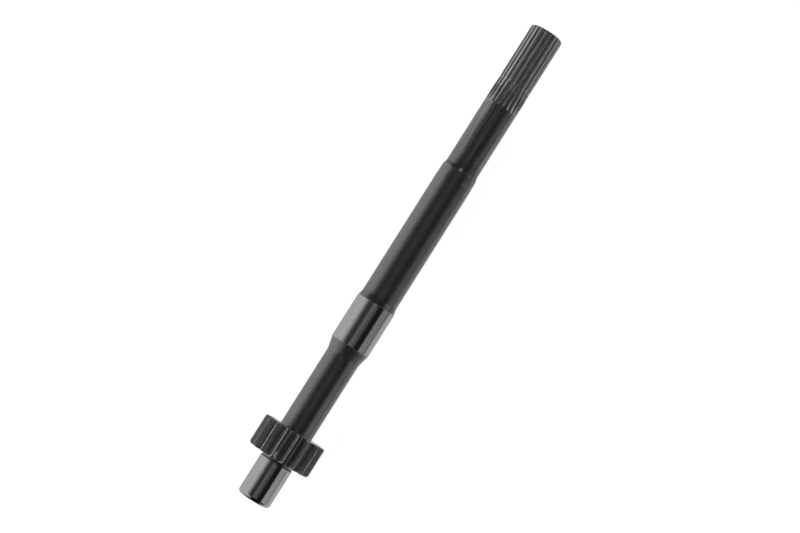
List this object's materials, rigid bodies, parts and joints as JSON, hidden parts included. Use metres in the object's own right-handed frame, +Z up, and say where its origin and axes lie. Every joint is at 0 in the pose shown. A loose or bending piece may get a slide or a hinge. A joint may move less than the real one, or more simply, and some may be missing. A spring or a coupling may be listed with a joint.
{
  "type": "input shaft",
  "caption": "One-piece steel pinion shaft that brings drive into a gearbox: ground journals, an integral spur pinion near one end, a tapered body and an involute spline at the other.",
  "frame": {"origin": "middle of the main journal, on the shaft's axis", "axes": "+X along the shaft's axis, from the pinion to the spline; +Z up; a tooth space of the pinion faces +Z, so that the shaft lies on the tips of two teeth and on the splined end"},
  "size_m": [0.4474, 0.0552, 0.0552],
  "materials": {
    "steel": "hardened alloy steel, dark from heat treatment and oiled, with the two journals and the tooth lands ground bright"
  },
  "bodies": {
    "root": {"input_shaft": "steel"}
  },
  "joints": []
}
